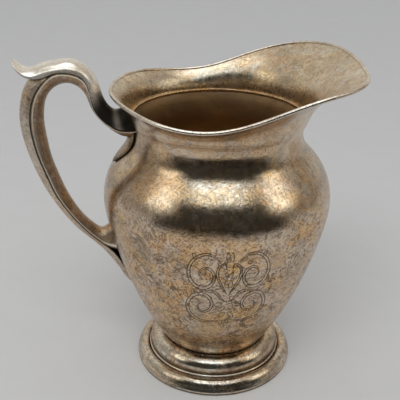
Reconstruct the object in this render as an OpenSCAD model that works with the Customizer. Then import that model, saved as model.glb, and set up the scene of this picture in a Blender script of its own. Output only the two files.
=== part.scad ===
// Silver-plated water pitcher with a flared pouring lip and a hollow scroll handle.
// Millimetres, Z up. The origin is the centre of the ring the foot stands on,
// the spout points to +X and the handle to -X.

/* [Body] */
// Largest outside diameter of the belly
body_d = 150; // [147:0.5:153]
// Height of the belly's widest line above the table
belly_z = 126; // [124:0.5:128]
// Outside radius at the narrowest line of the neck
neck_r = 54.25; // [53.25:0.25:55.25]
// Thickness of the spun and cast sheet
wall = 1; // [0.8:0.1:1.4]

/* [Lip and spout] */
// Mean distance of the lip's outer edge from the pitcher's axis
lip_r = 77.5; // [75.5:0.5:79.5]
// How far the lip is drawn out towards the spout
spout_pull = 12; // [10:0.5:14]
// Mean height of the lip
lip_z = 202; // [200:0.5:204]
// Rise of the lip from the handle to the spout
spout_rise = 9.5; // [8:0.5:11]
// Dip of the lip at the two sides
side_dip = 6; // [4.5:0.5:7.5]
// Thickness of the wire along the lip
rim_wire_d = 2.4; // [1.8:0.1:3]

/* [Foot] */
// Outside diameter of the foot at its widest
foot_d = 110; // [106:1:114]
// Height of the foot up to the joint with the body
foot_h = 21.4; // [20.8:0.1:22]
// Thickness of the bead between the two steps of the foot
foot_bead_d = 2.4; // [1.8:0.1:3]

/* [Handle] */
// Width of the handle where the hand holds it
handle_w = 18; // [16:0.5:20]
// Thickness of the handle's two hollow halves
handle_wall = 1.2; // [0.9:0.1:1.6]

/* [Hidden] */

silver = "#b3a695";
silver_dark = "#857866";
silver_gold = "#c2ab84";
clear = 0.05;                // hairline left between soldered pieces
seam_z = 179.5;              // top edge of the spun body
collar_z = 181.5;            // bottom edge of the flared collar
belly_r = body_d / 2;
foot_r = foot_d / 2;
joint_r = foot_r - 18.2;     // radius of the joint between body and foot
wide = handle_w / 18;
arc_n = 8;                   // steps across a handle section
round_n = 72;                // steps round the lip

// ---- curves -------------------------------------------------------------

function unit(v) = v / norm(v);

// One point of a smooth curve through p1 and p2
function curve_at(p0, p1, p2, p3, t) =
    0.5 * (2 * p1 + (p2 - p0) * t + (2 * p0 - 5 * p1 + 4 * p2 - p3) * t * t
        + (3 * p1 - p0 - 3 * p2 + p3) * t * t * t);

// A smooth curve through a list of points, n steps from each to the next
function smooth(p, n) =
    let (last = len(p) - 1)
    [for (i = [0 : last - 1], k = [0 : n - 1])
        curve_at(p[max(i - 1, 0)], p[i], p[i + 1], p[min(i + 2, last)], k / n),
     p[last]];

// A profile moved sideways by d, for the inside of a sheet
function inset(p, d) =
    [for (i = [0 : len(p) - 1])
        let (t = unit(p[min(i + 1, len(p) - 1)] - p[max(i - 1, 0)]))
        p[i] + d * [-t.y, t.x]];

function reversed(p) = [for (i = [len(p) - 1 : -1 : 0]) p[i]];

// Spun sheet: a profile and its inset, turned about the axis
module spun(profile, thick) {
    rotate_extrude($fn = 96) polygon(concat(profile, reversed(inset(profile, thick))));
}

// ---- body ---------------------------------------------------------------

body_profile = smooth([
    [joint_r + 0.4, foot_h + 0.4], [belly_r * 0.55, 28.5], [belly_r * 0.64, 40.6],
    [belly_r * 0.765, 61.3], [belly_r * 0.881, 85.3], [belly_r * 0.966, belly_z - 17],
    [belly_r, belly_z], [belly_r * 0.993, belly_z + 7], [belly_r * 0.97, belly_z + 14],
    [belly_r - 5.5, belly_z + 20.8],
    [neck_r + 11.7, 152], [neck_r + 7.8, 156.4], [neck_r + 4.1, 160.6], [neck_r + 1.7, 164.6],
    [neck_r + 0.4, 168.8], [neck_r, 172.8], [neck_r + 0.6, 176.3],
    [neck_r + 2.1, seam_z]], 3);

// ---- lip ----------------------------------------------------------------

// Plan and height of the lip at the angle a from the spout
function lip_plan(a) = lip_r + spout_pull * cos(a) + 5 * cos(2 * a)
    - 3.5 * cos(4 * a) - 2 * cos(5 * a);
function lip_height(a) = lip_z + spout_rise * cos(a) + side_dip * cos(2 * a)
    - 1.2 * cos(3 * a) - 1.8 * cos(4 * a);

collar_r = neck_r + 3;
function blend(p0, p1, p2, t) = p0 * (1 - t) * (1 - t) + p1 * 2 * t * (1 - t) + p2 * t * t;

// Section of the collar at the angle a: rises from the neck, then turns outwards
function collar_section(a, steps) =
    let (top = [lip_plan(a), lip_height(a)] - rim_wire_d / 2 * [1.45, 0.9],
         lift = (top.y - collar_z) * 0.66)
    [for (k = [0 : steps])
        blend([collar_r, collar_z], [collar_r + 0.3 * lift, collar_z + lift], top, k / steps)];

function turned(p, a) = [p.x * cos(a), p.x * sin(a), p.y];

// ---- surfaces the handle is soldered to ---------------------------------

back = concat(body_profile, collar_section(180, 10));
back_table = [for (p = back) [p.y, p.x]];
// The point of the pitcher's back at height z, y to the side, d off the metal
function on_back(y, z, d = 0) =
    [-(sqrt(pow(lookup(z, back_table), 2) - y * y) + clear + d), y, z];

// ---- lofts --------------------------------------------------------------

// Skin over rings of equal length; half of each ring is the outside and the
// other half, in the opposite order, is the inside
module skin(rings) {
    m = len(rings[0]);
    h = m / 2;
    last = len(rings) - 1;
    polyhedron(
        points = [for (r = rings) each r],
        faces = concat(
            [for (i = [0 : last - 1], j = [0 : m - 1])
                let (a = i * m + j, b = i * m + (j + 1) % m)
                each [[a, b, b + m], [a, b + m, a + m]]],
            [for (j = [0 : h - 2])
                let (o = j, p = m - 1 - j)
                each [[o, p, o + 1], [o + 1, p, p - 1]]],
            [for (j = [0 : h - 2])
                let (o = last * m + j, p = last * m + m - 1 - j)
                each [[o, o + 1, p], [o + 1, p - 1, p]]]));
}

// Closed tube round a loop of rings
module ring_tube(rings) {
    m = len(rings[0]);
    n = len(rings);
    polyhedron(
        points = [for (r = rings) each r],
        faces = [for (i = [0 : n - 1], j = [0 : m - 1])
            let (a = i * m + j, b = i * m + (j + 1) % m,
                 c = ((i + 1) % n) * m + (j + 1) % m, d = ((i + 1) % n) * m + j)
            each [[a, b, c], [a, c, d]]]);
}

// Half-oval arch from one edge over the crown to the other edge
function arch(edge, crown, half) =
    [for (k = [0 : arc_n])
        let (a = 180 * k / arc_n, s = sin(a))
        [edge.x + (crown.x - edge.x) * s, half * cos(a), edge.y + (crown.y - edge.y) * s]];

// Rows are [edge x, edge z, crown x, crown z, half width]
function half_shell_ring(r) =
    let (edge = [r[0], r[1]], crown = [r[2], r[3]], deep = crown - edge,
         inner = edge + deep * max(1 - handle_wall / norm(deep), 0.2),
         half = r[4] * wide)
    concat(arch(edge, crown, half),
           reversed(arch(edge, inner, max(half - handle_wall, half * 0.3))));

function landed(ring) = [for (p = ring) on_back(p.y, p.z)];

// ---- handle -------------------------------------------------------------

// Seam between the upper and lower halves, from the neck to above the bend
top_seam = [[-62.2, 174.6], [-68.4, 177.5], [-74.2, 182.4], [-78.6, 189.9], [-80.3, 199],
            [-84, 207.6], [-92, 211.3], [-101, 211.2]];
top_half = [9.7, 9.4, 9.1, 9, 9, 9.2, 9.4, 9.5];
// Seam of the long grip, from the bend to just above the lower end
grip_seam = [[-107.8, 206], [-112.7, 199.4], [-116.1, 190.5], [-117.4, 180], [-116.1, 167],
             [-113.5, 155.5], [-109.8, 144.3], [-105.6, 132.2], [-99.6, 121.1], [-92.7, 111.2],
             [-85.7, 103], [-79.5, 97], [-74, 92.3]];
grip_half = [9.2, 9, 9, 8.9, 8.7, 8.4, 8, 7.6, 7.3, 7.2, 7.3, 7.5, 7.6];

// Crown of the side that faces the fingers
top_inside = [[-61.7, 169], [-68.2, 173.3], [-75, 180], [-80.3, 187.8], [-83.4, 196],
              [-88.1, 201.3], [-93.7, 203.3], [-99.5, 202.1]];
grip_inside = [[-104.6, 198.2], [-107.8, 192.6], [-109.4, 185], [-109.7, 177], [-108.6, 166],
               [-106.8, 154.7], [-103.7, 144.2], [-99.7, 132.7], [-94.6, 121.7], [-88.7, 112.3],
               [-83.3, 106.3], [-78.4, 102.7], [-75.3, 103.5]];
// Crown of the thumb rest over the same seam
top_outside = [[-65, 185.6], [-68.6, 187.3], [-71.4, 191.3], [-73.3, 196], [-75.6, 204],
               [-81.2, 212.8], [-91.2, 218], [-101, 217.2]];
// Crown of the outer side of the grip
grip_outside = [[-112.8, 208.8], [-119.6, 202.4], [-123.4, 191.3], [-124.7, 180.3],
                [-123.2, 166.5], [-120.1, 154.2], [-116, 142.2], [-110.6, 130],
                [-103.7, 118.2], [-96.4, 107.7], [-89.4, 100.1], [-82.7, 93.8],
                [-78, 88.6]];

function rows(edges, crowns, halves, lift = 0) =
    [for (i = [0 : len(edges) - 1])
        [edges[i].x, edges[i].y + lift, crowns[i].x, crowns[i].y, halves[i]]];

inner_rows = smooth(concat(
    rows(top_seam, top_inside, top_half),
    rows(grip_seam, grip_inside, grip_half, 0.1)), 3);
inner_start = half_shell_ring([-55.5, 174.6, -55, 167.8, 10]);
inner_end = half_shell_ring([-68.8, 89.6, -73, 106.2, 8]);

// Tail of the outer half: leaves the seam and lies down on the body in a point
tail_rows = [
    [-69.4, 87, -74.3, 83.9, 7], [-65.2, 80, -70.2, 77.9, 6.3],
    [-62, 72.6, -65.9, 70.9, 5.1], [-59.5, 66, -62.7, 65, 3.5],
    [-57.7, 61.3, -59.6, 60.9, 1.6]];
outer_rows = smooth(concat(
    [[-102, 209.6, -102.6, 211.3, 7.8]],
    rows(grip_seam, grip_outside, grip_half, -0.1), tail_rows), 3);

// Thumb rest rows also give its underside: [..., underside x, underside z]
function over_seam(e, c, half) =
    let (u = c - unit(c - e) * handle_wall) [e.x, e.y + 0.2, c.x, c.y, half, u.x, u.y];
rest_rows = smooth(concat(
    [for (i = [0 : len(top_seam) - 1]) over_seam(top_seam[i], top_outside[i], top_half[i])],
    [[-109, 208.6, -109.2, 215.5, 9.5, -109.3, 213.6],
     [-115.2, 208.6, -115.4, 213.1, 9.2, -115.4, 207.2],
     [-120.5, 211.2, -120, 213.2, 8.5, -120.9, 208.3],
     [-124, 214.7, -123.2, 215.6, 7, -124.6, 212.4],
     [-125.7, 217.1, -125.1, 217.7, 4.8, -126.2, 215.9]]), 3);
function rest_ring(r) =
    concat(arch([r[0], r[1]], [r[2], r[3]], r[4] * wide),
           reversed(arch([r[0], r[1]], [r[5], r[6]], (r[4] - handle_wall * 0.9) * wide)));

// Leaf below the upper joint: [edge z, crown x, crown z, half width]
leaf_rows = smooth([
    [173.4, -58.4, 166.6, 9.8], [169.3, -59.3, 164.3, 9.8], [165, -60.6, 161.6, 9.6],
    [160.5, -62.8, 159, 8.8], [156.5, -65.4, 155.9, 6.8], [153.6, -67.4, 153.2, 4.3],
    [151.2, -68.5, 151, 1.8]], 3);
function leaf_ring(r) =
    let (edge = on_back(r[3] * wide, r[0], 0.4),
         out = arch([edge.x, r[0]], [r[1], r[2]], r[3] * wide),
         lifted = [for (p = out) [min(p.x, on_back(p.y, p.z, 0.4).x), p.y, p.z]])
    concat(lifted, reversed(landed(lifted)));

// ---- pieces -------------------------------------------------------------

module body_shell() {
    inner = reversed(inset(body_profile, wall));
    color(silver) rotate_extrude($fn = 96)
        polygon(concat([[0, foot_h], [joint_r, foot_h]], body_profile, inner,
                       [[joint_r - 1.5, foot_h + wall], [0, foot_h + wall]]));
}

module neck_ring() {
    color(silver_gold) rotate_extrude($fn = 96) polygon([
        [neck_r + 0.6, seam_z], [neck_r + 2.1, seam_z], [collar_r, collar_z],
        [neck_r + 1, collar_z], [neck_r + 0.3, collar_z - 0.8]]);
}

module neck_spout() {
    steps = 9;
    rings = [for (i = [0 : round_n - 1])
        let (a = 360 * i / round_n, s = collar_section(a, steps), t = inset(s, wall),
             inner = concat([[collar_r - wall, collar_z]],
                            [for (k = [1 : steps]) t[k]]))
        [for (p = concat(s, reversed(inner))) turned(p, a)]];
    color(silver) ring_tube(rings);
}

module rim_wire() {
    r = rim_wire_d / 2;
    rings = [for (i = [0 : round_n - 1])
        let (a = 360 * i / round_n,
             c = [lip_plan(a) - r, lip_height(a)])
        [for (k = [0 : 7]) turned(c + r * [cos(-45 * k), sin(-45 * k)], a)]];
    color(silver_gold) ring_tube(rings);
}

module foot_dome() {
    dome = smooth([[foot_r - 24, foot_h - clear], [joint_r - 0.2, foot_h - clear],
                   [foot_r - 15.4, foot_h - 0.6], [foot_r - 12.5, foot_h - 2.3],
                   [foot_r - 10.4, foot_h - 5.1], [foot_r - 9.5, foot_h - 8.2],
                   [foot_r - 9.8, 10.6]], 3);
    color(silver) spun(dome, -wall);
}

module foot_bead() {
    color(silver_gold) rotate_extrude($fn = 96)
        translate([foot_r - 9.6, 10.5 - foot_bead_d / 2]) circle(d = foot_bead_d, $fn = 32);
}

module foot_base() {
    base = smooth([[foot_r - 11, 8.2 - foot_bead_d / 4], [foot_r - 8.4, 8.4],
                   [foot_r - 7, 9.8], [foot_r - 4.6, 9.9], [foot_r - 2.2, 8.1],
                   [foot_r - 0.6, 5.2], [foot_r, 2.9], [foot_r - 0.4, 1.3]], 3);
    color(silver) spun(base, -wall);
}

module foot_wire() {
    color(silver_dark) rotate_extrude($fn = 96) polygon([
        [foot_r - 3.6, 0], [foot_r - 0.8, 0], [foot_r - 0.3, 0.5], [foot_r - 0.4, 1.2],
        [foot_r - 3.6, 1.2]]);
}

module thumb_rest() {
    first = [for (p = rest_ring([-55.5, 175, -61, 187.6, 10, -60.4, 186.4])) on_back(p.y, p.z)];
    color(silver) skin(concat([first], [for (r = rest_rows) rest_ring(r)]));
}

module handle_outer() {
    color(silver_dark) skin([for (r = outer_rows) half_shell_ring(r)]);
}

module handle_inner() {
    color(silver_dark) mirror([0, 1, 0]) skin(concat([landed(inner_start)],
        [for (r = inner_rows) half_shell_ring(r)], [landed(inner_end)]));
}

module upper_leaf() {
    color(silver_dark) mirror([0, 1, 0]) skin([for (r = leaf_rows) leaf_ring(r)]);
}

body_shell();
neck_ring();
neck_spout();
rim_wire();
foot_dome();
foot_bead();
foot_base();
foot_wire();
thumb_rest();
handle_outer();
handle_inner();
upper_leaf();
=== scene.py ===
# Looks of the silver-plated water pitcher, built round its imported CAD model.
# Shapes are worked out in millimetres in the CAD's frame and stored in metres.
import math

import bmesh
import bpy
import numpy as np
from mathutils import Matrix, Vector, noise


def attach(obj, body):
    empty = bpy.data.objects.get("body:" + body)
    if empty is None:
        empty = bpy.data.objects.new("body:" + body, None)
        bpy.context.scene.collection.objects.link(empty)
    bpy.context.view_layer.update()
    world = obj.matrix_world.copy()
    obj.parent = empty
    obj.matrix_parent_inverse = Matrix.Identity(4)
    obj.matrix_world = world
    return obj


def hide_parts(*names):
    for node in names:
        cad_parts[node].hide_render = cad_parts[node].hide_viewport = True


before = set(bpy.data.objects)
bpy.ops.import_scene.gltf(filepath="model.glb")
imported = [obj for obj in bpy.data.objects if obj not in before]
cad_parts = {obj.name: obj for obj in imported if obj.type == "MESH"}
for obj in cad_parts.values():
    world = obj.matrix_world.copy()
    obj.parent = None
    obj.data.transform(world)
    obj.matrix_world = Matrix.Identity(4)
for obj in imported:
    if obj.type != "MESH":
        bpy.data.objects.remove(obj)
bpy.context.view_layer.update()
MM = 0.001
FULL_TURN = 2 * math.pi

# ---------------------------------------------------------------- curves


def spline(points, knots, at):
    """Natural cubic spline through the points at the knots, read at the given places."""
    p, t = np.asarray(points, float), np.asarray(knots, float)
    n, h = len(p), np.diff(t)
    a, b = np.eye(n), np.zeros_like(p)
    for i in range(1, n - 1):
        a[i, i - 1], a[i, i], a[i, i + 1] = h[i - 1], 2 * (h[i - 1] + h[i]), h[i]
        b[i] = 6 * ((p[i + 1] - p[i]) / h[i] - (p[i] - p[i - 1]) / h[i - 1])
    m = np.linalg.solve(a, b)
    i = np.clip(np.searchsorted(t, at, side="right") - 1, 0, n - 2)
    u, v, hi = (at - t[i])[:, None], (t[i + 1] - at)[:, None], h[i][:, None]
    return (
        (m[i] * v**3 + m[i + 1] * u**3) / (6 * hi)
        + (p[i] / hi - m[i] * hi / 6) * v
        + (p[i + 1] / hi - m[i + 1] * hi / 6) * u
    )


def chord(points):
    """Distance along a row of points, from the first one."""
    steps = np.linalg.norm(np.diff(np.asarray(points, float), axis=0), axis=1)
    return np.concatenate([[0], np.cumsum(steps)])


def curve(points, steps):
    """A smooth curve through the points, cut into equal steps."""
    t = chord(points)
    return spline(points, t, np.linspace(0, t[-1], steps + 1))


def resampled(points, at):
    """Flat points at the given distances along a row of them."""
    t = chord(points)
    return np.c_[np.interp(at, t, points[:, 0]), np.interp(at, t, points[:, 1])]


def around(count):
    """Equal angles round a full turn."""
    return np.linspace(0, FULL_TURN, count, endpoint=False)


def normals_2d(p):
    """Unit normals on the right of a profile that runs upwards: its outside."""
    t = np.gradient(p, axis=0)
    t /= np.linalg.norm(t, axis=1)[:, None]
    return np.c_[t[:, 1], -t[:, 0]]


def bell(x, middle, width):
    """A soft hump of height 1."""
    return np.exp(-(((x - middle) / width) ** 2))


def step_up(x, low, high):
    """0 up to low and 1 from high on, with a soft step between them."""
    t = np.clip((x - low) / (high - low), 0, 1)
    return t * t * (3 - 2 * t)


# ---------------------------------------------------------------- meshes


def piece(name, points, faces, node, materials, grime_and_painted_light, sharp=40, which=None):
    """A mesh piece that stands for a CAD node, from points in millimetres.

    Each point has a dirt value: 1 is black, from dirt, and on the thumb strip from a painted dark
    reflection; below 0 is a painted highlight.
    which gives each face's material by its number; edges over sharp degrees stay sharp.
    """
    mesh = bpy.data.meshes.new(name)
    mesh.from_pydata((np.asarray(points) * MM).tolist(), [], faces)
    bm = bmesh.new()
    bm.from_mesh(mesh)
    bmesh.ops.recalc_face_normals(bm, faces=bm.faces)
    bm.to_mesh(mesh)
    bm.free()
    mesh.polygons.foreach_set("use_smooth", [True] * len(mesh.polygons))
    mesh.set_sharp_from_angle(angle=math.radians(sharp))
    layer = mesh.attributes.new("grime_and_painted_light", "FLOAT", "POINT")
    layer.data.foreach_set("value", np.asarray(grime_and_painted_light, np.float32))
    for m in materials:
        mesh.materials.append(m)
    if which is not None:
        mesh.polygons.foreach_set("material_index", np.asarray(which, np.int32))
    mesh.update()
    obj = bpy.data.objects.new(name, mesh)
    bpy.context.scene.collection.objects.link(obj)
    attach(obj, "root")
    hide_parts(node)


def grid_faces(rows, columns, closed):
    """Faces between rings of points, and from the last ring back to the first if closed."""
    faces = []
    for i in range(rows if closed else rows - 1):
        k = (i + 1) % rows
        for j in range(columns):
            n = (j + 1) % columns
            faces.append((i * columns + j, i * columns + n, k * columns + n, k * columns + j))
    return faces


def turned(profile, angles):
    """Every profile point turned to every angle: rows of profile, columns of angle."""
    r, z = profile[:, 0][:, None], profile[:, 1][:, None]
    ones = np.ones_like(angles)[None, :]
    return np.stack([r * np.cos(angles), r * np.sin(angles), z * ones], axis=2)


def swung(section, a):
    """A section of radius and height, swung round the axis to angle a."""
    return np.c_[section[:, 0] * math.cos(a), section[:, 0] * math.sin(a), section[:, 1]]


def capped_faces(count, m):
    """Faces over a row of rings with shut ends. Half of each ring is outside, half inside."""
    faces = grid_faces(count, m, False)
    last = (count - 1) * m
    for j in range(m // 2 - 1):
        faces.append((j, j + 1, m - 2 - j, m - 1 - j))
        faces.append((last + j, last + m - 1 - j, last + m - 2 - j, last + j + 1))
    return faces


def wobble(points, size, depth, seed):
    """Small hand-made unevenness: a soft value for each point, in millimetres."""
    shift = Vector((seed * 7.3, seed * 3.1, seed * 5.7))
    return np.array([noise.noise(Vector(p) / size + shift) for p in points.reshape(-1, 3)]) * depth


# ---------------------------------------------------------------- materials


class Net:
    """The node tree of a material or a world, with a short call for each kind of node."""

    def __init__(self, owner, coordinates="Object"):
        owner.use_nodes = True
        self.owner, self.tree = owner, owner.node_tree
        self.tree.nodes.clear()
        self.place = self.add("ShaderNodeTexCoord").outputs[coordinates]

    def add(self, kind, **inputs):
        node = self.tree.nodes.new(kind)
        for key, value in inputs.items():
            self.put(node.inputs[key.replace("_", " ")], value)
        return node

    def put(self, socket, value):
        if isinstance(value, bpy.types.NodeSocket):
            self.tree.links.new(value, socket)
        elif value is not None:
            socket.default_value = value

    def stretched(self, scale, turn=(0, 0, 0)):
        node = self.add("ShaderNodeMapping", Vector=self.place)
        node.inputs["Scale"].default_value = scale
        node.inputs["Rotation"].default_value = turn
        return node.outputs["Vector"]

    def noise(self, scale, detail, rough, warp=0.0, at=None):
        """Cloudy noise from 0 to 1, with scale clouds to the metre."""
        node = self.add("ShaderNodeTexNoise", Vector=at or self.place, Scale=scale,
                        Detail=detail, Roughness=rough, Distortion=warp)
        return node.outputs["Fac"]

    def ramp(self, value, low, high, start=0.0, end=1.0):
        """Value moved from low..high to start..end, held inside them, with soft ends."""
        node = self.add("ShaderNodeMapRange", Value=value)
        node.interpolation_type = "SMOOTHSTEP"
        ends = {"From Min": low, "From Max": high, "To Min": start, "To Max": end}
        for key, number in ends.items():
            node.inputs[key].default_value = number
        return node.outputs["Result"]

    def math(self, kind, a, b=None):
        node = self.add("ShaderNodeMath")
        node.operation = kind
        self.put(node.inputs[0], a)
        self.put(node.inputs[1], b)
        return node.outputs[0]

    def times(self, first, *others):
        for other in others:
            first = self.math("MULTIPLY", first, other)
        return first

    def plus(self, first, *others):
        for other in others:
            first = self.math("ADD", first, other)
        return first

    def mix(self, factor, a, b):
        node = self.add("ShaderNodeMix")
        node.data_type = "RGBA"
        self.put(node.inputs["Factor"], factor)
        for key, value in (("A", a), ("B", b)):
            socket = [s for s in node.inputs if s.name == key and s.type == "RGBA"][0]
            self.put(socket, (*value, 1) if isinstance(value, tuple) else value)
        return [s for s in node.outputs if s.type == "RGBA"][0]

    def height(self):
        node = self.add("ShaderNodeSeparateXYZ", Vector=self.place)
        return node.outputs["Z"]

    def mark(self, name):
        node = self.add("ShaderNodeAttribute")
        node.attribute_name = name
        return node.outputs["Fac"]

    def bump(self, value, strength, distance, normal=None):
        node = self.add("ShaderNodeBump", Height=value, Strength=strength, Distance=distance,
                        Normal=normal)
        return node.outputs["Normal"]

    def surface(self, color, rough, metal=0.0, normal=None):
        node = self.add("ShaderNodeBsdfPrincipled", Base_Color=color, Roughness=rough,
                        Metallic=metal, Normal=normal)
        return node.outputs["BSDF"]

    def show(self, shader, output="ShaderNodeOutputMaterial"):
        """Sends the shader to the output, and returns the finished material or world."""
        self.put(self.add(output).inputs["Surface"], shader)
        return self.owner


# what time leaves on silver plate, and colours for painted shade, painted reflection and painted
# highlight
LILAC = (0.74, 0.58, 0.475)
AMBER = (0.82, 0.49, 0.19)
LIGHT_GOLD, DEEP_GOLD = (0.86, 0.56, 0.23), (0.72, 0.37, 0.15)
BROWN_STAIN = (0.17, 0.10, 0.055)
PEPPER = (0.13, 0.095, 0.07)
RUBBED = (1.0, 0.95, 0.87)
# painted highlight, where the grime value is below 0: along the grip's bead
PAINTED_HIGHLIGHT = (0.93, 0.86, 0.74)
# painted shade, used inside the pitcher towards its top
DEEP_SHADE = (0.10, 0.06, 0.03)
# dirt, and the painted dark reflection on the thumb strip near the neck
DIRT_AND_DARK_REFLECTION = (0.026, 0.02, 0.016)


def tarnish(n, speck, clean, taupe, gold, stain, fleck, low):
    """The colour of the plate under its toning and stains, and how dull they leave it."""
    color = n.mix(n.ramp(n.noise(24, 5, 0.65, 0.8), 0.36, 0.64), clean, taupe)
    # where the plate is most stained: everywhere, or mostly low on the belly
    where = n.ramp(n.noise(40, 4, 0.6, 0.6), 0.30, 0.55, 0.55, 1.0)
    if low:
        where = n.times(where, n.ramp(n.height(), low[0], low[1], 1.0, low[2]))
    rosy = n.times(n.ramp(n.noise(75, 5, 0.7, 0.8), 0.46, 0.60), where)
    color = n.mix(n.times(rosy, stain), color, LILAC)
    # wide areas of amber, with broken patches of gold inside them
    area = n.ramp(n.noise(34, 5, 0.7, 1.8), 0.44, 0.56, 0.15, 1.0)
    color = n.mix(n.times(area, where, gold * 0.65), color, AMBER)
    patch = n.times(n.ramp(n.noise(95, 6, 0.78, 1.4), 0.42, 0.58),
                    n.ramp(n.noise(420, 5, 0.75, 0.6), 0.40, 0.58, 0.2, 1.0))
    mottle = n.times(patch, where, gold, area)
    golds = n.mix(n.ramp(n.noise(60, 3, 0.6), 0.45, 0.6), LIGHT_GOLD, DEEP_GOLD)
    color = n.mix(mottle, color, golds)
    # brown blots, and specks like pepper
    blot = n.times(n.ramp(n.noise(150, 6, 0.85, 2.2), 0.47, 0.57), where, stain)
    color = n.mix(blot, color, BROWN_STAIN)
    color = n.mix(n.times(n.ramp(speck, 0.54, 0.66), where, stain), color, PEPPER)
    # pale flecks, where the plate has been rubbed bright again
    if fleck:
        pale = n.times(n.ramp(n.noise(230, 6, 0.8, 1.8), 0.53, 0.62), where)
        color = n.mix(n.times(pale, fleck), color, RUBBED)
    return color, n.plus(mottle, n.plus(blot, rosy))


def old_silver(name, clean, taupe, gloss, gold, stain, metal=1.0, fleck=0.0, grain=1.0,
               low=None, brushed=None, tilt=None, shade=None):
    """Tarnished silver plate: cloudy toning, warm patches, speckle, pits and scratches.

    clean and taupe are the plate's lightest and darkest tones, and gloss is its least
    roughness. gold, stain, fleck and grain say how much there is of each kind of mark.
    low, tilt and shade give two heights in metres and what changes between them: how much of the
    stains is left, how far the shading leans, and how dark the painted shade makes the metal.
    brushed is the stretch of fine lines along X, Y and Z.
    """
    n = Net(bpy.data.materials.new(name))
    fine = n.noise(260, 5, 0.7, 0.5)
    speck = n.noise(800, 3, 0.6, 0.3)
    color, dull = tarnish(n, speck, clean, taupe, gold, stain, fleck, low)
    if brushed:
        lines = n.noise(90, 4, 0.75, 0.0, n.stretched(brushed))
        color = n.mix(n.ramp(lines, 0.35, 0.65, 0.0, 0.3), color, taupe)
    # painted shade: the metal darkens from the first height to the second and stays dark above
    if shade:
        color = n.mix(n.ramp(n.height(), shade[0], shade[1], 0.0, shade[2]), color, DEEP_SHADE)
    # dirt held in the seams and grooves, a painted dark reflection on the thumb strip, and a
    # painted highlight on the grip's bead
    dirt_and_painted_light = n.mark("grime_and_painted_light")
    color = n.mix(n.ramp(dirt_and_painted_light, 0.05, 0.95), color, DIRT_AND_DARK_REFLECTION)
    color = n.mix(n.ramp(dirt_and_painted_light, -0.6, -0.05, 1.0, 0.0), color, PAINTED_HIGHLIGHT)
    rough = n.plus(n.ramp(fine, 0.3, 0.7, gloss, gloss + 0.08), n.times(dull, 0.10),
                   n.ramp(dirt_and_painted_light, 0.0, 1.0, 0.0, 0.25))
    # the relief: a lean of the whole surface, then scratches, pits and the stains' edges
    normal = None
    if tilt:
        normal = n.bump(n.ramp(n.height(), tilt[0], tilt[1], 0.0, tilt[2]), 1.0, 1.0)
    scratches = n.noise(140, 3, 0.7, 0.2, n.stretched((1, 1, 9), (0.5, 0.3, 0)))
    normal = n.bump(scratches, 0.07 * grain, 0.0006, normal)
    normal = n.bump(speck, 0.08 * grain, 0.0004, normal)
    normal = n.bump(n.times(fine, n.plus(dull, 0.25)), 0.10 * grain, 0.0012, normal)
    if brushed:
        normal = n.bump(lines, 0.16, 0.0006, normal)
    return n.show(n.surface(color, rough, metal, normal))


def matt(name, color):
    """Plain matt paper, with a faint unevenness."""
    n = Net(bpy.data.materials.new(name))
    shaded = tuple(c * 0.85 for c in color)
    color = n.mix(n.ramp(n.noise(30, 4, 0.6), 0.3, 0.7, 0.0, 0.12), color, shaded)
    return n.show(n.surface(color, 0.9))


plate = old_silver("plate_body", (0.76, 0.635, 0.505), (0.41, 0.33, 0.245), gloss=0.10, gold=1.0,
                   stain=0.9, fleck=0.4, grain=0.8, low=(0.112, 0.150, 0.52),
                   tilt=(0.150, 0.171, 0.0022))
plate_lip = old_silver("plate_lip", (0.90, 0.82, 0.67), (0.56, 0.47, 0.35), gloss=0.20, gold=0.5,
                       stain=0.5, fleck=0.5, brushed=(1, 1, 0.15), tilt=(0.176, 0.197, 0.0048))
# the inside darkens towards its top: painted shade
plate_inside = old_silver("plate_inside", (0.70, 0.42, 0.16), (0.34, 0.20, 0.08), gloss=0.34,
                          gold=0.15, stain=0.1, metal=0.45, brushed=(1, 1, 14),
                          shade=(0.11, 0.175, 0.68))
plate_foot = old_silver("plate_foot", (0.76, 0.70, 0.60), (0.44, 0.38, 0.30), gloss=0.09,
                        gold=0.25, stain=0.6, fleck=0.15, grain=0.6,
                        tilt=(0.0, 0.0052, -0.00145))
plate_handle = old_silver("plate_handle", (0.70, 0.62, 0.52), (0.46, 0.39, 0.315), gloss=0.34,
                          gold=0.3, stain=0.5, metal=0.85)
plate_leaf = old_silver("plate_leaf", (0.40, 0.345, 0.28), (0.25, 0.21, 0.165), gloss=0.22,
                        gold=0.3, stain=0.6)
plate_grip = old_silver("plate_grip", (0.42, 0.33, 0.25), (0.27, 0.205, 0.15), gloss=0.30,
                        gold=0.35, stain=0.5, metal=0.85)
plate_thumb = old_silver("plate_thumb", (0.95, 0.92, 0.85), (0.70, 0.65, 0.57), gloss=0.15,
                         gold=0.15, stain=0.2, metal=0.72, grain=0.3)
plate_edge = old_silver("plate_edge", (0.84, 0.78, 0.70), (0.60, 0.53, 0.45), gloss=0.16,
                        gold=0.2, stain=0.3)
plate_gold = old_silver("plate_gold", (0.84, 0.64, 0.38), (0.60, 0.43, 0.24), gloss=0.2,
                        gold=0.6, stain=0.3)

# ---------------------------------------------------------------- body

WALL = 1.0
# heights of the floor, of the joint with the neck ring and of the ring's top
FLOOR_Z, SEAM_Z, COLLAR_Z = 21.4, 179.5, 181.5
# the spun outline as radius and height, from the foot up to the neck
BODY = [
    [37.2, 21.8], [41.25, 28.5], [48, 40.6], [57.4, 61.3], [66.1, 85.3], [72.45, 109],
    [75, 126], [74.5, 133], [72.75, 140], [69.5, 146.8], [65.95, 152], [62.05, 156.4],
    [58.35, 160.6], [55.95, 164.6], [54.65, 168.8], [54.25, 172.8], [54.85, 176.3],
    [56.35, SEAM_Z],
]
body_fine = curve(BODY, 3999)

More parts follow.
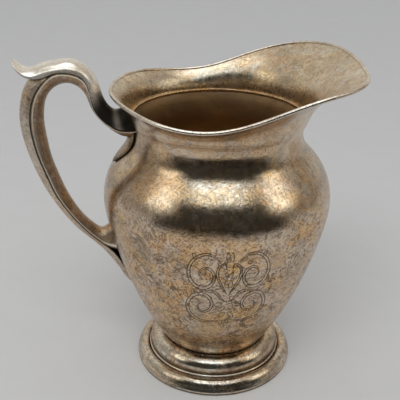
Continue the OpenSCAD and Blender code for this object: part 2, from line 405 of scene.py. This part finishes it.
# ---------------------------------------------------------------- engraving
# A mirror-symmetric bouquet of leafy scrolls, drawn flat in millimetres about its centre.
# CUT_AZ and CUT_Z are its place on the belly, and CUT_SIZE stretches it across and up. The
# cut map is a grid of depths over the drawing, CUT_W and CUT_H to each side of its centre.
CUT_AZ = math.radians(-90)
CUT_Z = 91.5
CUT_STEP = 0.1
CUT_W, CUT_H = 30.0, 34.0
CUT_SIZE = np.array([0.82, 1.16])
cut_map = np.zeros((int(2 * CUT_H / CUT_STEP), int(2 * CUT_W / CUT_STEP)))
DOT_GAP = 0.14
# half width and depth of the outlines, the leaves' edges, their veins and the hatching
OUTLINE, LEAF_EDGE, VEIN, HATCH = (0.4, 0.26), (0.36, 0.22), (0.26, 0.12), (0.24, 0.10)
HATCH_GAP = 1.5


def cut_dot(u, v, w, depth):
    """Cuts a round dimple of half width w into the cut map, where it lies wholly on it."""
    x, y = (u + CUT_W) / CUT_STEP, (v + CUT_H) / CUT_STEP
    k = int(w / CUT_STEP) + 2
    i, j, size = int(y) - k, int(x) - k, 2 * k + 1
    if i < 0 or j < 0 or i + size > cut_map.shape[0] or j + size > cut_map.shape[1]:
        return
    yy, xx = np.mgrid[i:i + size, j:j + size]
    r = np.hypot(xx - x, yy - y) * CUT_STEP / w
    area = cut_map[i:i + size, j:j + size]
    np.maximum(area, depth * np.clip(1 - r * r, 0, 1) ** 1.3, out=area)


def cut_line(points, tool):
    """Cuts a groove with tapered ends along a line, and another along its mirror image."""
    width, depth = tool
    points = points * CUT_SIZE
    dense = resampled(points, np.arange(0, chord(points)[-1], DOT_GAP))
    part = np.linspace(0, 1, len(dense))
    taper = np.minimum(1, 0.35 + 5 * np.minimum(part, 1 - part))
    for (u, v), w in zip(dense, taper * width):
        cut_dot(-u, v, w, depth)
        cut_dot(u, v, w, depth)


def ribbon(points, broad):
    """Two grooves that swell apart and meet again at both ends, with short cuts between."""
    p = curve(points, 89)
    length = chord(points)[-1]
    s = np.linspace(0, 1, len(p))
    swell = broad * np.sin(math.pi * np.clip(s * 0.96 + 0.02, 0, 1)) ** 0.8
    n = normals_2d(p)
    cut_line(p + n * swell[:, None], OUTLINE)
    cut_line(p - n * swell[:, None], OUTLINE)
    for k in range(int(length / HATCH_GAP)):
        f = (k + 0.5) * HATCH_GAP / length
        i = int(f * (len(p) - 1))
        if swell[i] < 0.45 or not 0.12 < f < 0.88:
            continue
        lean = 0.35 * np.array([-n[i][1], n[i][0]])
        a = p[i] + n[i] * swell[i] * 0.75 - lean
        b = p[i] - n[i] * swell[i] * 0.75 + lean
        cut_line(np.array([a, (a + b) / 2, b]), HATCH)


def cut_leaf(u, v, length, broad, turn):
    """A pointed leaf with a middle vein, from its stem at u, v."""
    s = np.linspace(0, 1, 14)
    c, w = math.cos(math.radians(turn)), math.sin(math.radians(turn))
    bow = broad * np.sin(math.pi * s ** 0.8)
    for side, tool in ((-1, LEAF_EDGE), (0, VEIN), (1, LEAF_EDGE)):
        x, y = s * length, side * bow
        cut_line(np.c_[u + x * c - y * w, v + x * w + y * c], tool)


# each scroll's middle line and its half breadth
SCROLLS = [
    ([[7, 21], [14, 25.2], [23, 24], [29.5, 17], [29, 8], [22, 2.2], [14.5, 3.2], [11, 9],
      [13.5, 15], [19.5, 16], [22, 11.5], [19, 8]], 1.2),
    ([[2.5, -25], [11, -26.3], [21, -25.2], [28.5, -19], [29.5, -10], [23.5, -3.4],
      [15.5, -4.2], [11.5, -10], [14, -16.4], [20, -17], [22, -12.4], [19, -9.4]], 1.25),
    ([[0.8, -3], [5, 3.6], [8.2, 10], [7.6, 17], [3.4, 19.4], [2.2, 15.6]], 0.8),
    ([[0.8, -9], [5.4, -5.6], [9, -1.6], [14.5, -0.6], [20, -0.6]], 0.8),
]
# each leaf's stem, length, half breadth and turn in degrees
LEAVES = [
    (29.6, 5.4, 5, 1.3, -28), (29.8, -5.6, 5, 1.3, 28), (24.2, 22.6, 5, 1.2, 42),
    (24, -24, 5, 1.2, -42), (0.6, 20.5, 7, 1.6, 78), (0.6, -24.6, 4.6, 1.2, -70),
    (0.9, 2, 6.4, 1.4, 78), (0.9, -12.5, 7.6, 1.5, -34), (0.9, -17.6, 7.4, 1.5, -46),
    (3.4, -10.2, 7.4, 1.5, -14), (1, 9.4, 5, 1.2, 74),
]
for line, half_breadth in SCROLLS:
    ribbon(line, half_breadth)
for stem_and_size in LEAVES:
    cut_leaf(*stem_and_size)


def cut_depth(u, v):
    """Depth of the engraving at flat places u, v, by bilinear reading of the cut map."""
    x, y = (u + CUT_W) / CUT_STEP, (v + CUT_H) / CUT_STEP
    inside = (x > 1) & (y > 1) & (x < cut_map.shape[1] - 2) & (y < cut_map.shape[0] - 2)
    x, y = np.where(inside, x, 1), np.where(inside, y, 1)
    i, j = y.astype(int), x.astype(int)
    fy, fx = y - i, x - j
    d = (cut_map[i, j] * (1 - fy) * (1 - fx) + cut_map[i + 1, j] * fy * (1 - fx)
         + cut_map[i, j + 1] * (1 - fy) * fx + cut_map[i + 1, j + 1] * fy * fx)
    return np.where(inside, d, 0)


# spacing of the body's mesh: over the engraving, at the narrow bends, and elsewhere
FINE_GAP, BEND_GAP, WIDE_GAP = 0.31, 1.0, 1.7
FINE_BELOW, FINE_ABOVE, FINE_HALF_ANGLE = 31, 30, math.radians(25)
FOOT_BEND_TOP, NECK_BEND_LOW, NECK_BEND_TOP = 30, 158, 175
BELLY_R = 66
# cuts this deep hold this much dirt
CUT_DARK_AT, CUT_DARK = 0.18, 0.82


def body_rows():
    """The outline at the rows of the mesh, and each row's way up from the engraving."""
    z, along = body_fine[:, 1], chord(body_fine)
    gap = np.where((z > CUT_Z - FINE_BELOW) & (z < CUT_Z + FINE_ABOVE), FINE_GAP, WIDE_GAP)
    at_neck = (z > NECK_BEND_LOW) & (z < NECK_BEND_TOP)
    gap = np.where((z < FOOT_BEND_TOP) | at_neck, BEND_GAP, gap)
    count = np.concatenate([[0], np.cumsum(np.diff(along) / gap[1:])])
    rows = np.interp(np.arange(0, count[-1]), count, along)
    rows[-1] = along[-1]
    return resampled(body_fine, rows), rows - np.interp(CUT_Z, z, along)


def body_skin(outer, way_up, angles):
    """The outside with its dents and its engraving, and the depth of the cuts."""
    skin = turned(outer, angles)
    on_front = angles[None, :] < CUT_AZ + FINE_HALF_ANGLE
    u = np.where(on_front, outer[:, 0][:, None] * (angles - CUT_AZ)[None, :], 2 * CUT_W)
    v = way_up[:, None] * np.ones_like(u)
    cut = cut_depth(u, v)
    # the dents fade out towards the joints with the foot and the neck ring
    fade = step_up(outer[:, 1], 24, 34) * (1 - step_up(outer[:, 1], 168, 176))
    dent = (wobble(skin, 34, 0.16, 1) + wobble(skin, 13, 0.035, 2)).reshape(cut.shape)
    lift = (dent - 0.06) * fade[:, None] - cut
    return skin + turned(normals_2d(outer), angles) * lift[:, :, None], cut


def body_inside(angles):
    profile = (body_fine - WALL * normals_2d(body_fine))[::-1]
    profile = profile[profile[:, 1] > FLOOR_Z + WALL + 0.8]
    inner = resampled(profile, np.linspace(0, chord(profile)[-1], 44))
    inner[0] = [body_fine[-1, 0] - WALL, SEAM_Z]
    return turned(inner, angles)


def build_body():
    front = np.arange(CUT_AZ - FINE_HALF_ANGLE, CUT_AZ + FINE_HALF_ANGLE, FINE_GAP / BELLY_R)
    rest = np.linspace(front[-1], front[0] + FULL_TURN, 104)[1:-1]
    angles = np.concatenate([front, rest])
    outer, way_up = body_rows()
    skin, cut = body_skin(outer, way_up, angles)
    under = np.array([[r, FLOOR_Z] for r in (12, 26, 36.6)])
    floor = np.array([[r, FLOOR_Z + WALL] for r in (34.6, 22, 10)])
    rings = np.concatenate([turned(under, angles), skin, body_inside(angles),
                            turned(floor, angles)])
    count, m = rings.shape[:2]
    faces = grid_faces(count, m, False)
    # the two last points are the middles of the underside and of the floor
    points = np.vstack([rings.reshape(-1, 3), [[0, 0, FLOOR_Z], [0, 0, FLOOR_Z + WALL]]])
    for j in range(m):
        n = (j + 1) % m
        faces.append((count * m, n, j))
        faces.append((count * m + 1, (count - 1) * m + j, (count - 1) * m + n))
    grime_and_painted_light = np.zeros((count, m))
    skin_end = len(under) + len(outer)
    foot_joint = 0.75 * bell(outer[:, 1], 21.8, 0.6)
    grime_and_painted_light[len(under):skin_end] = np.clip(cut / CUT_DARK_AT, 0, 1) * CUT_DARK + foot_joint[:, None]
    which = [1 if min(f) >= (skin_end - 1) * m else 0 for f in faces]
    piece("pitcher_body", points, faces, "body_shell", [plate, plate_inside],
          np.append(grime_and_painted_light, [0, 0]), 45, which)


build_body()

# ---------------------------------------------------------------- lip

COLLAR_R = 57.25
RIM_R = 1.2
# the lip's reach from the axis and its height: a mean, then the size of each cosine of the
# angle from the spout, its double and so on
LIP_REACH = [77.5, 12, 5, 0, -3.5, -2]
LIP_RISE = [202, 9.5, 6, -1.2, -1.8]


def cosines(a, sizes):
    return sum(size * np.cos(k * a) for k, size in enumerate(sizes))


def bend(a, degrees, width):
    """A soft bump about one direction round the lip."""
    return bell(np.degrees(np.angle(np.exp(1j * (a - math.radians(degrees))))), 0, width)


# The lip's near side is bent a little out of true: narrower at -18 degrees, higher at -56.
def lip_plan(a):
    return cosines(a, LIP_REACH) - 1.5 * bend(a, -18, 12)


def lip_height(a):
    return cosines(a, LIP_RISE) + 2.5 * bend(a, -56, 17)


def collar_section(a, steps):
    """The collar's outline at one angle: up from the neck ring, then out to the wire."""
    top = np.array([lip_plan(a) - 1.45 * RIM_R, lip_height(a) - 0.9 * RIM_R])
    lift = (top[1] - COLLAR_Z) * 0.66
    low = np.array([COLLAR_R, COLLAR_Z])
    turn = low + np.array([0.3 * lift, lift])
    t = np.linspace(0, 1, steps + 1)[:, None]
    return low * (1 - t) ** 2 + turn * 2 * t * (1 - t) + top * t * t


def build_lip():
    count, steps = 288, 40
    angles = around(count)
    rings = []
    for a in angles:
        outer = collar_section(a, steps)
        inner = outer - WALL * normals_2d(outer)
        inner[0] = [COLLAR_R - WALL, COLLAR_Z]
        rings.append(swung(np.concatenate([outer, inner[::-1]]), a))
    rings = np.array(rings)
    m = rings.shape[1]
    # both sides of the sheet are uneven together, but not at its two edges
    uneven = wobble(rings, 30, 0.3, 4).reshape(count, m)
    h = np.linspace(0, 1, steps + 1)
    fade = np.concatenate([np.sin(math.pi * h), np.sin(math.pi * h)[::-1]])
    radial = np.stack([np.cos(angles), np.sin(angles)], axis=1)
    rings[:, :, :2] += radial[:, None, :] * (uneven * fade)[:, :, None]
    faces = grid_faces(count, m, True)
    grime_and_painted_light = np.tile(np.concatenate([0.9 * bell(h, 1, 0.035), 0 * h]), count)
    which = [1 if all(m // 2 <= v % m for v in f) else 0 for f in faces]
    piece("pitcher_lip", rings.reshape(-1, 3), faces, "neck_spout", [plate, plate_lip], grime_and_painted_light, 50,
          which)


def build_wire():
    """The wire along the edge of the lip, with its soldered root a little darker."""
    round_wire = around(16)
    angles = around(360)
    rings = []
    for a in angles:
        worn = 1 + 0.03 * math.sin(9 * a) + 0.02 * math.sin(23 * a + 1)
        centre = np.array([lip_plan(a) - RIM_R, lip_height(a)])
        circle = np.c_[np.cos(round_wire), np.sin(round_wire)]
        rings.append(swung(centre + RIM_R * min(worn, 1) * circle, a))
    root = 0.85 * step_up(-np.sin(round_wire) - 0.2 * np.cos(round_wire), 0.55, 0.95)
    piece("lip_wire", np.concatenate(rings), grid_faces(len(angles), len(round_wire), True),
          "rim_wire", [plate_edge], np.tile(root, len(angles)), 60)


build_lip()
build_wire()


def ring_piece(name, profile, node, materials, grime_and_painted_light, which=None):
    """A closed profile turned all the way round, with grime and which given for its points."""
    columns = 192
    profile = np.asarray(profile, float)
    faces = grid_faces(len(profile), columns, True)
    kinds = None if which is None else [which[min(f) // columns] for f in faces]
    piece(name, turned(profile, around(columns)).reshape(-1, 3), faces, node, materials,
          np.repeat(grime_and_painted_light, columns), which=kinds)


# soldered ledge inside the neck: flush outside, a rounded shoulder inside
LEDGE = [[55.6, SEAM_Z], [56.35, SEAM_Z], [56.8, 180.5], [COLLAR_R, COLLAR_Z], [55.8, COLLAR_Z],
         [55.1, 181.55], [54.6, 181.3], [54.4, 180.8], [54.45, 180.3], [54.7, 179.8], [55, SEAM_Z]]
ring_piece("neck_ledge", LEDGE, "neck_ring", [plate, plate_gold],
           [0.3, 0, 0, 0, 0, 0, 0, 0, 0, 0.2, 0.5], [1, 0, 0, 1, 1, 1, 1, 1, 1, 1, 1])

# ---------------------------------------------------------------- foot


def spun_foot(name, profile, node, seams):
    """A spun sheet, from its outline downwards. seams is the dirt along the outside."""
    inside = profile + WALL * normals_2d(profile)
    ring_piece(name, np.concatenate([profile, inside[::-1]]), node, [plate_foot],
               np.concatenate([seams, np.full(len(seams), 0.4)]))


dome = curve([[31, 21.35], [36.6, 21.35], [39.6, 20.8], [42.5, 19.1], [44.6, 16.3], [45.5, 13.2],
              [45.2, 10.6]], 44)
spun_foot("foot_upper", dome, "foot_dome",
          0.7 * bell(dome[:, 1], 21.4, 0.2) * (dome[:, 0] > 36) + 0.8 * bell(dome[:, 1], 10.6, 0.5))

BEAD_AT, BEAD_R = np.array([45.4, 9.3]), 1.2
bead_turn = around(20)
bead = BEAD_AT + BEAD_R * np.c_[np.cos(bead_turn), np.sin(bead_turn)]
ring_piece("foot_ring", bead, "foot_bead", [plate_edge],
           0.8 * np.clip(np.abs(np.sin(bead_turn)) * 2.4 - 1.6, 0, 1))

base = curve([[44, 7.6], [46.6, 8.4], [48, 9.8], [50.4, 9.9], [52.8, 8.1], [54.4, 5.2], [55, 2.9],
              [54.6, 1.3]], 48)
spun_foot("foot_lower", base, "foot_base",
          0.85 * bell(base[:, 0], 46.2, 0.6) + 0.7 * bell(base[:, 1], 1.2, 0.5))

EDGE_RING = [[51.4, 0.15], [51.55, 0], [54.0, 0], [54.35, 0.1], [54.65, 0.45], [54.65, 0.9],
             [54.5, 1.2], [51.4, 1.2]]
ring_piece("foot_edge", EDGE_RING, "foot_wire", [plate_foot],
           [0.4, 0.4, 0.3, 0.2, 0.2, 0.5, 0.9, 0.5])

# ---------------------------------------------------------------- handle

back = np.concatenate([body_fine, collar_section(math.pi, 30)])
back_z, back_r = back[:, 1], back[:, 0]
# the hairline between the pitcher and what is soldered to it
CLEAR = 0.05


def on_back(y, z, off=0.0):
    """Points of the pitcher's back at height z and y to the side."""
    y, z = np.asarray(y, float), np.asarray(z, float)
    r = np.interp(z, back_z, back_r)
    return np.stack([-(np.sqrt(r * r - y * y) + CLEAR + off), y, z], axis=-1)


# places across a half-oval, from one edge at 0 to the other at pi, closer at the edges
arc = math.pi / 2 * (1 - np.cos(np.linspace(0, math.pi, 37)))
INSIDE = -1.0
# the bead along the grip's seams: its distance from the edge, and its softness
BEAD_RISE, BEAD_WIDTH = 0.75, 0.515
HANDLE_WALL = 1.2


def arch(edge, crown, half, bead_size=0.0):
    """Half-oval from one edge over the crown to the other, with a bead along both edges."""
    edge, crown = np.asarray(edge, float), np.asarray(crown, float)
    rise = np.sin(arc)
    side = half * np.cos(arc)
    if bead_size:
        deep = max(np.linalg.norm(crown - edge), 0.1)
        side = side + np.sign(np.cos(arc)) * bead_size * bell(rise * deep, BEAD_RISE, BEAD_WIDTH)
    along = edge[None, :] + (crown - edge)[None, :] * rise[:, None]
    return np.stack([along[:, 0], side, along[:, 1]], axis=1)


def half_shell_ring(row, bead_size=0.0):
    """The ring of a half shell, from its seam's and its crown's x and z and its half width."""
    edge, crown, half = np.array(row[0:2], float), np.array(row[2:4], float), row[4]
    deep = crown - edge
    inner = edge + deep * max(1 - HANDLE_WALL / np.linalg.norm(deep), 0.2)
    out = arch(edge, crown, half - bead_size * 0.6, bead_size)
    return np.concatenate([out, arch(edge, inner, max(half - HANDLE_WALL, half * 0.3))[::-1]])


def landed(ring):
    """A ring pressed on to the pitcher's back."""
    return on_back(ring[:, 1], ring[:, 2])


# The handle's side view as x and z: TOP is the run from the neck to the curl, GRIP the long
# bow down to the belly. SEAM, INSIDE and OUTSIDE are the lines it runs along, and HALF is
# its half width at the same places.
TOP_SEAM = [[-62.2, 174.6], [-68.4, 177.5], [-74.2, 182.4], [-78.6, 189.9], [-80.3, 199],
            [-84, 207.6], [-92, 211.3], [-101, 211.2]]
TOP_HALF = [9.7, 9.4, 9.1, 9, 9, 9.2, 9.4, 9.5]
GRIP_SEAM = [[-107.8, 206], [-112.7, 199.4], [-116.1, 190.5], [-117.4, 180], [-116.1, 167],
             [-113.5, 155.5], [-109.8, 144.3], [-105.6, 132.2], [-99.6, 121.1], [-92.7, 111.2],
             [-85.7, 103], [-79.5, 97], [-74, 92.3]]
GRIP_HALF = [9.2, 9, 9, 8.9, 8.7, 8.4, 8, 7.6, 7.3, 7.2, 7.3, 7.5, 7.6]
TOP_INSIDE = [[-61.7, 169], [-68.2, 173.3], [-75, 180], [-80.3, 187.8], [-83.4, 196],
              [-88.1, 201.3], [-93.7, 203.3], [-99.5, 202.1]]
GRIP_INSIDE = [[-104.6, 198.2], [-107.8, 192.6], [-109.4, 185], [-109.7, 177], [-108.6, 166],
               [-106.8, 154.7], [-103.7, 144.2], [-99.7, 132.7], [-94.6, 121.7], [-88.7, 112.3],
               [-83.3, 106.3], [-78.4, 102.7], [-75.3, 103.5]]
TOP_OUTSIDE = [[-65, 185.6], [-68.6, 187.3], [-71.4, 191.3], [-73.3, 196], [-75.6, 204],
               [-81.2, 212.8], [-91.2, 218], [-101, 217.2]]
GRIP_OUTSIDE = [[-112.8, 208.8], [-119.6, 202.4], [-123.4, 191.3], [-124.7, 180.3],
                [-123.2, 166.5], [-120.1, 154.2], [-116, 142.2], [-110.6, 130],
                [-103.7, 118.2], [-96.4, 107.7], [-89.4, 100.1], [-82.7, 93.8], [-78, 88.6]]


def rows_of(edges, crowns, halves, lift=0.0):
    """Rows of a half shell: edge x and z, crown x and z, and half width."""
    return [[e[0], e[1] + lift, c[0], c[1], h] for e, c, h in zip(edges, crowns, halves)]


def loft(name, control, gap, node, materials, grime_and_painted_light):
    """A smooth skin through control rings. The last argument marks the dirt and painted light, from
    how far along the skin a ring is, from 0 to 1, and from its points' places across, or INSIDE."""
    control = np.array(control)
    knots = chord(control.mean(axis=1))
    count = int(knots[-1] / gap)
    flat = control.reshape(len(control), -1)
    rings = spline(flat, knots, np.linspace(0, knots[-1], count + 1)).reshape(count + 1, -1, 3)
    m = rings.shape[1]
    across = np.concatenate([arc, np.full(len(arc), INSIDE)])
    marks = np.concatenate([grime_and_painted_light(i / count, across) for i in range(count + 1)])
    points = rings.reshape(-1, 3)
    points = points + np.outer(wobble(points, 18, 0.12, 6), [0, 0, 1])
    piece(name, points, capped_faces(count + 1, m), node, materials, marks, 42)


def seam_dirt(width, strength=1.0):
    """Dirt of one strength along both seams and all over the inside."""
    def mark(along, across):
        rise = np.minimum(across, math.pi - across)
        return strength * np.where(across == INSIDE, 1.0, bell(rise, 0, width))
    return mark


def beaded(along, across):
    """A black seam, and beside it a painted highlight along the bead."""
    rise = np.minimum(across, math.pi - across)
    # below 0 beside the seam: a painted highlight along the bead
    return seam_dirt(0.06)(along, across) - 0.9 * bell(rise, 0.16, 0.05) * (across != INSIDE)


def inner_half():
    rows = rows_of(TOP_SEAM, TOP_INSIDE, TOP_HALF) + rows_of(GRIP_SEAM, GRIP_INSIDE, GRIP_HALF, 0.1)
    # the bead fades out over the last rows
    beads = [0.5 - 0.05 * max(i - 12, 0) for i in range(len(rows))]
    start = landed(half_shell_ring([-55.5, 174.6, -55, 167.8, 10], 0.3))
    end = landed(half_shell_ring([-68.8, 89.6, -73, 106.2, 8], 0.1))
    rings = [half_shell_ring(row, bead_size) for row, bead_size in zip(rows, beads)]
    loft("handle_inside", [start] + rings + [end], 1.1, "handle_inner", [plate_grip], beaded)


# the pointed tail on the belly, as rows of a half shell
TAIL = [[-69.4, 87, -74.3, 83.9, 7], [-65.2, 80, -70.2, 77.9, 6.3], [-62, 72.6, -65.9, 70.9, 5.1],
        [-59.5, 66, -62.7, 65, 3.5], [-57.7, 61.3, -59.6, 60.9, 1.6]]


def outer_half():
    rows = [[-102, 209.6, -102.6, 211.3, 7.8]]
    rows += rows_of(GRIP_SEAM, GRIP_OUTSIDE, GRIP_HALF, -0.1) + TAIL
    rings = [half_shell_ring(row, 0.25 if 1 < i < 14 else 0.1) for i, row in enumerate(rows)]
    loft("handle_outside", rings, 1.1, "handle_outer", [plate_handle], seam_dirt(0.075))


# the curled end, as rows of the thumb strip
CURL = [[-109, 208.6, -109.2, 215.5, 9.5, -109.3, 213.6],
        [-115.2, 208.6, -115.4, 213.1, 9.2, -115.4, 207.2],
        [-120.5, 211.2, -120, 213.2, 8.5, -120.9, 208.3],
        [-124, 214.7, -123.2, 215.6, 7, -124.6, 212.4],
        [-125.7, 217.1, -125.1, 217.7, 4.8, -126.2, 215.9]]


def rest_ring(row):
    """The ring of the thumb strip: edge, crown, half width and the crown of its underside."""
    out = arch(row[0:2], row[2:4], row[4])
    return np.concatenate([out, arch(row[0:2], row[5:7], row[4] - HANDLE_WALL * 0.9)[::-1]])


def thumb_reflection_and_dirt(along, across):
    """Painted dark reflection towards the neck, less of it in a painted highlight near the joint,
    and dirt along the seams; clean and bright where the thumb lies.
    """
    reflection_by_neck = 0.95 * (1 - step_up(along, 0.20, 0.44)) - 0.45 * bell(along, 0.09, 0.03)
    return np.clip(seam_dirt(0.03, 0.45)(along, across) + reflection_by_neck, 0, 1)


def thumb_piece():
    rings = [landed(rest_ring([-55.5, 175, -61, 187.6, 10, -60.4, 186.4]))]
    for e, c, h in zip(TOP_SEAM, TOP_OUTSIDE, TOP_HALF):
        e, c = np.array(e, float), np.array(c, float)
        under = c - (c - e) / np.linalg.norm(c - e) * HANDLE_WALL
        rings.append(rest_ring([e[0], e[1] + 0.2, *c, h, *under]))
    rings += [rest_ring(row) for row in CURL]
    loft("thumb_scroll", rings, 1.0, "thumb_rest", [plate_thumb], thumb_reflection_and_dirt)


# the leaf under the joint: height at the body, crown's x and z, and half width
LEAF = [[173.4, -58.4, 166.6, 9.8], [169.3, -59.3, 164.3, 9.8], [165, -60.6, 161.6, 9.6],
        [160.5, -62.8, 159, 8.8], [156.5, -65.4, 155.9, 6.8], [153.6, -67.4, 153.2, 4.3],
        [151.2, -68.5, 151, 1.8]]


def leaf_piece():
    rings = []
    for z, cx, cz, half in LEAF:
        edge = on_back(half, z, 0.4)
        out = arch([edge[0], z], [cx, cz], half)
        out[:, 0] = np.minimum(out[:, 0], on_back(out[:, 1], out[:, 2], 0.4)[:, 0])
        rings.append(np.concatenate([out, landed(out)[::-1]]))
    loft("joint_leaf", rings, 0.8, "upper_leaf", [plate_leaf], seam_dirt(0.2, 0.9))


inner_half()
outer_half()
thumb_piece()
leaf_piece()

# ---------------------------------------------------------------- stage, light and camera


def flat_plate(name, points, faces, material):
    mesh = bpy.data.meshes.new(name)
    mesh.from_pydata(points, [], faces)
    mesh.materials.append(material)
    obj = bpy.data.objects.new(name, mesh)
    bpy.context.scene.collection.objects.link(obj)
    return obj


flat_plate("floor", [(-3, -3, 0), (3, -3, 0), (3, 3, 0), (-3, 3, 0)], [(0, 1, 2, 3)],
           matt("pale_floor", (0.66, 0.66, 0.66)))

# The room ends dark in front of the table's edge. A black flag lies there, just over the
# floor, which only the metal's reflections see.
TABLE = [(-0.68, -0.27), (-0.48, -0.45), (-0.24, -0.51), (0.0, -0.53), (0.17, -0.50),
         (0.36, -0.43), (0.64, -0.31)]
FLAG_LIFT, FLAG_REACH = 0.0015, 9


def build_flag():
    n = Net(bpy.data.materials.new("black_flag"))
    glow = n.add("ShaderNodeEmission", Color=(0.02, 0.018, 0.016, 1))
    black = n.show(glow.outputs["Emission"])
    near = [(x, y, FLAG_LIFT) for x, y in TABLE]
    far = [(x * FLAG_REACH, y * FLAG_REACH, FLAG_LIFT) for x, y in TABLE]
    count = len(TABLE)
    faces = [(i, i + 1, count + i + 1, count + i) for i in range(count - 1)]
    flag = flat_plate("black_flag", near + far, faces, black)
    flag.visible_camera = False
    flag.visible_diffuse = False
    flag.visible_shadow = False
    flag.visible_transmission = False


SOFT_LIGHT = (0.585, 0.59, 0.59)
ROOM_LOW, ROOM_HIGH = (0.30, 0.28, 0.25), (0.52, 0.50, 0.46)
# colour, azimuth from and to, elevation from and to, softness of the edges, all in degrees
STUDIO = [
    ((2.4, 2.55, 2.6), (-181, 181), (68, 91), 8.0),
    ((0.66, 0.65, 0.60), (35, 155), (-5, 48), 8.0),
    ((0.045, 0.047, 0.043), (-156, -27), (-40, 41), 4.0),
    ((1.6, 1.58, 1.4), (-172, -146), (18, 50), 5.0),
    ((1.6, 1.58, 1.4), (-38, -10), (18, 50), 5.0),
    ((0.9, 0.9, 0.85), (-138, -46), (42, 62), 2.5),
    ((2.15, 2.55, 2.85), (-130, -58), (44, 60), 2.5),
]


def build_studio():
    """The room as the metal sees it: by direction, a soft window, warm walls and a dark side."""
    n = Net(bpy.data.worlds.new("studio"), "Generated")
    way = n.add("ShaderNodeSeparateXYZ", Vector=n.place)
    rise = n.times(n.math("ARCSINE", way.outputs["Z"]), 180 / math.pi)
    turn = n.times(n.math("ARCTAN2", way.outputs["Y"], way.outputs["X"]), 180 / math.pi)

    def band(value, ends, soft):
        low, high = ends
        return n.times(n.ramp(value, low - soft, low + soft),
                       n.ramp(value, high - soft, high + soft, 1.0, 0.0))

    color = n.mix(n.ramp(rise, -10, 60), ROOM_LOW, ROOM_HIGH)
    for tint, azimuth, elevation, soft in STUDIO:
        color = n.mix(n.times(band(turn, azimuth, soft), band(rise, elevation, soft)), color, tint)
    # only mirror-like rays see the room; everything else gets an even, soft light
    seen = n.add("ShaderNodeLightPath").outputs["Is Glossy Ray"]
    glow = n.add("ShaderNodeBackground", Color=n.mix(seen, SOFT_LIGHT, color), Strength=1.0)
    bpy.context.scene.world = n.show(glow.outputs["Background"], "ShaderNodeOutputWorld")


build_flag()
build_studio()


def soft_box(name, at, aim, size, power, color):
    """A rectangular lamp that the metal doesn't mirror."""
    lamp = bpy.data.lights.new(name, "AREA")
    lamp.shape = "RECTANGLE"
    lamp.size, lamp.size_y = size
    lamp.energy = power
    lamp.color = color
    obj = bpy.data.objects.new(name, lamp)
    bpy.context.scene.collection.objects.link(obj)
    obj.location = at
    obj.rotation_euler = (Vector(aim) - Vector(at)).to_track_quat("-Z", "Y").to_euler()
    obj.visible_glossy = False


soft_box("key", at=(-0.25, -0.75, 1.25), aim=(0, -0.15, 0.0), size=(0.8, 0.6), power=6.5,
         color=(1, 0.99, 0.97))
bpy.context.scene.view_settings.view_transform = "Standard"

CAM_AT = Vector((-0.0549, -0.4471, 0.3326))
HEADING, TILT, ROLL = math.radians(5.58), math.radians(25.22), math.radians(0.77)
forward = Vector((math.sin(HEADING) * math.cos(TILT), math.cos(HEADING) * math.cos(TILT),
                  -math.sin(TILT)))
level = Vector((math.cos(HEADING), -math.sin(HEADING), 0))
upright = level.cross(forward)
right = level * math.cos(ROLL) + upright * math.sin(ROLL)
up = upright * math.cos(ROLL) - level * math.sin(ROLL)
turned_to_world = Matrix((right, up, -forward)).transposed().to_4x4()
camera_data = bpy.data.cameras.new("camera")
camera_data.sensor_width = 36
camera_data.lens = 66.64
camera_data.clip_start = 0.01
camera = bpy.data.objects.new("camera", camera_data)
bpy.context.scene.collection.objects.link(camera)
camera.matrix_world = Matrix.Translation(CAM_AT) @ turned_to_world
bpy.context.scene.camera = camera
